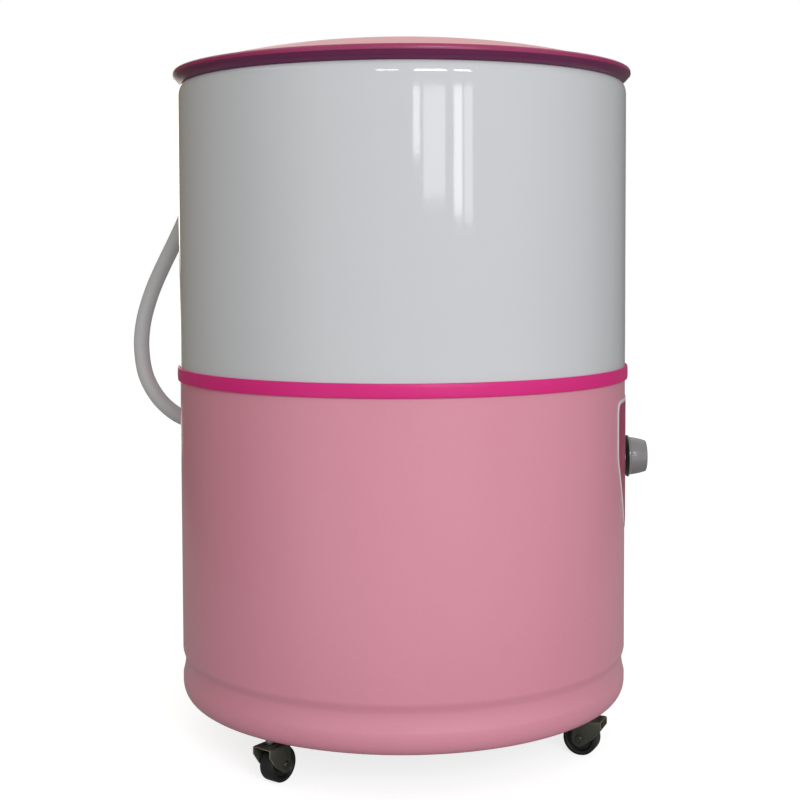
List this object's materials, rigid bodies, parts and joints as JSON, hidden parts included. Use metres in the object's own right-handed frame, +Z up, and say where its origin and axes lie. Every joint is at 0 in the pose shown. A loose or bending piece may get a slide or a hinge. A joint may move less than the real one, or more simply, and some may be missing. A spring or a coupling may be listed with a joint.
{
  "type": "washing machine",
  "caption": "Round top-loading washing machine: white enamelled tub on a pink skirt, magenta rim and band, lift-off lid, rotary timer, drain hose and swivel casters.",
  "frame": {"origin": "on the floor, on the tub's axis", "axes": "+Z up along the tub's axis; -Y is the front with the timer; +X is to the right seen from the front"},
  "size_m": [0.5403, 0.6423, 0.82],
  "materials": {
    "enamel_white": "glossy white enamel",
    "pink_paint": "smooth pink paint, semi-gloss",
    "magenta_trim": "glossy magenta plastic",
    "lid_pink": "glossy pale pink plastic",
    "pulsator_white": "smooth white plastic",
    "knob_grey": "satin grey plastic",
    "plate_print": "plain pale printed film",
    "zinc_steel": "zinc plated, slightly dull",
    "stainless": "turned, bright",
    "cast_aluminium": "cast, fine grained",
    "bronze": "oiled bronze",
    "black_rubber": "matt black rubber",
    "core_steel": "laminated, oiled",
    "black_plastic": "matt black plastic",
    "copper_wire": "varnished wire",
    "frame_paint": "black stove enamel",
    "capacitor_case": "smooth grey plastic",
    "timer_case": "ivory plastic",
    "drain_plastic": "pale grey plastic",
    "hose_grey": "smooth grey flexible hose",
    "cuff_grey": "dark grey rubber",
    "cable_black": "black cable sheath",
    "caster_paint": "dark painted steel, worn at the edges",
    "wheel_black": "hard black wheel"
  },
  "bodies": {
    "cabinet": {"wash_tub": "enamel_white", "seam_ring": "zinc_steel", "lower_skirt": "pink_paint", "trim_band": "magenta_trim", "rim_ring": "magenta_trim", "bearing_housing": "cast_aluminium", "housing_gasket": "black_rubber", "housing_bolts": "stainless", "shaft_bushes": "bronze", "shaft_seal": "black_rubber", "drive_belt": "black_rubber", "motor_stator": "core_steel", "motor_windings": "copper_wire", "motor_bells": "cast_aluminium", "motor_bearings": "stainless", "motor_bracket": "frame_paint", "motor_bolts": "zinc_steel", "motor_beams": "frame_paint", "run_capacitor": "capacitor_case", "capacitor_clamp": "zinc_steel", "timer_body": "timer_case", "timer_screws": "zinc_steel", "control_plate": "plate_print", "drain_strainer": "drain_plastic", "drain_nuts": "drain_plastic", "drain_elbow": "drain_plastic", "drain_tube": "black_rubber", "outlet_spigot": "drain_plastic", "hose_clamps": "zinc_steel", "hose_hook": "zinc_steel", "drain_hose": "hose_grey", "hose_end_cuff": "cuff_grey", "cord_gland": "black_rubber", "wiring_harness": "cable_black", "base_ring": "frame_paint", "caster_stems": "zinc_steel"},
    "lid": {"lid": "lid_pink", "lid_grip": "lid_pink"},
    "agitator": {"pulsator": "pulsator_white", "pulsator_screw": "stainless", "drive_shaft": "stainless", "driven_pulley": "cast_aluminium", "pulley_nut": "zinc_steel"},
    "rotor": {"motor_rotor": "core_steel", "motor_pulley": "cast_aluminium", "motor_fan": "black_plastic"},
    "timer_dial": {"timer_knob": "knob_grey", "timer_shaft": "zinc_steel"},
    "caster_1": {"caster_fork_1": "caster_paint", "caster_axle_1": "zinc_steel"},
    "roller_1": {"caster_wheel_1": "wheel_black"},
    "caster_2": {"caster_fork_2": "caster_paint", "caster_axle_2": "zinc_steel"},
    "roller_2": {"caster_wheel_2": "wheel_black"},
    "caster_3": {"caster_fork_3": "caster_paint", "caster_axle_3": "zinc_steel"},
    "roller_3": {"caster_wheel_3": "wheel_black"},
    "caster_4": {"caster_fork_4": "caster_paint", "caster_axle_4": "zinc_steel"},
    "roller_4": {"caster_wheel_4": "wheel_black"}
  },
  "joints": [
    {"name": "lid_lift", "type": "slide", "parent": "cabinet", "child": "lid", "axis": [0, 0, 1], "range_m": [0, 0.3]},
    {"name": "pulsator_spin", "type": "hinge", "parent": "cabinet", "child": "agitator", "pos_m": [0, 0, 0.4], "axis": [0, 0, 1], "continuous": true},
    {"name": "rotor_spin", "type": "hinge", "parent": "cabinet", "child": "rotor", "pos_m": [-0.16, 0, 0.26], "axis": [0, 0, 1], "continuous": true},
    {"name": "timer_turn", "type": "hinge", "parent": "cabinet", "child": "timer_dial", "pos_m": [0, -0.28, 0.33055], "axis": [0, 1, 0], "range_deg": [0, 300]},
    {"name": "caster_swivel_1", "type": "hinge", "parent": "cabinet", "child": "caster_1", "pos_m": [-0.10214, -0.21608, 0.0425], "axis": [0, 0, 1], "continuous": true},
    {"name": "caster_roll_1", "type": "hinge", "parent": "caster_1", "child": "roller_1", "pos_m": [-0.09701, -0.20523, 0.02], "axis": [0.9041, -0.4274, 0], "continuous": true},
    {"name": "caster_swivel_2", "type": "hinge", "parent": "cabinet", "child": "caster_2", "pos_m": [-0.18961, 0.14549, 0.0425], "axis": [0, 0, 1], "continuous": true},
    {"name": "caster_roll_2", "type": "hinge", "parent": "caster_2", "child": "roller_2", "pos_m": [-0.18009, 0.13819, 0.02], "axis": [-0.6088, -0.7934, 0], "continuous": true},
    {"name": "caster_swivel_3", "type": "hinge", "parent": "cabinet", "child": "caster_3", "pos_m": [0.18961, 0.14549, 0.0425], "axis": [0, 0, 1], "continuous": true},
    {"name": "caster_roll_3", "type": "hinge", "parent": "caster_3", "child": "roller_3", "pos_m": [0.18009, 0.13819, 0.02], "axis": [-0.6088, 0.7934, 0], "continuous": true},
    {"name": "caster_swivel_4", "type": "hinge", "parent": "cabinet", "child": "caster_4", "pos_m": [0.10214, -0.21608, 0.0425], "axis": [0, 0, 1], "continuous": true},
    {"name": "caster_roll_4", "type": "hinge", "parent": "caster_4", "child": "roller_4", "pos_m": [0.09701, -0.20523, 0.02], "axis": [0.9041, 0.4274, 0], "continuous": true}
  ],
  "couplings": [
    {"joint": "rotor_spin", "follows": "pulsator_spin", "ratio": 4}
  ]
}
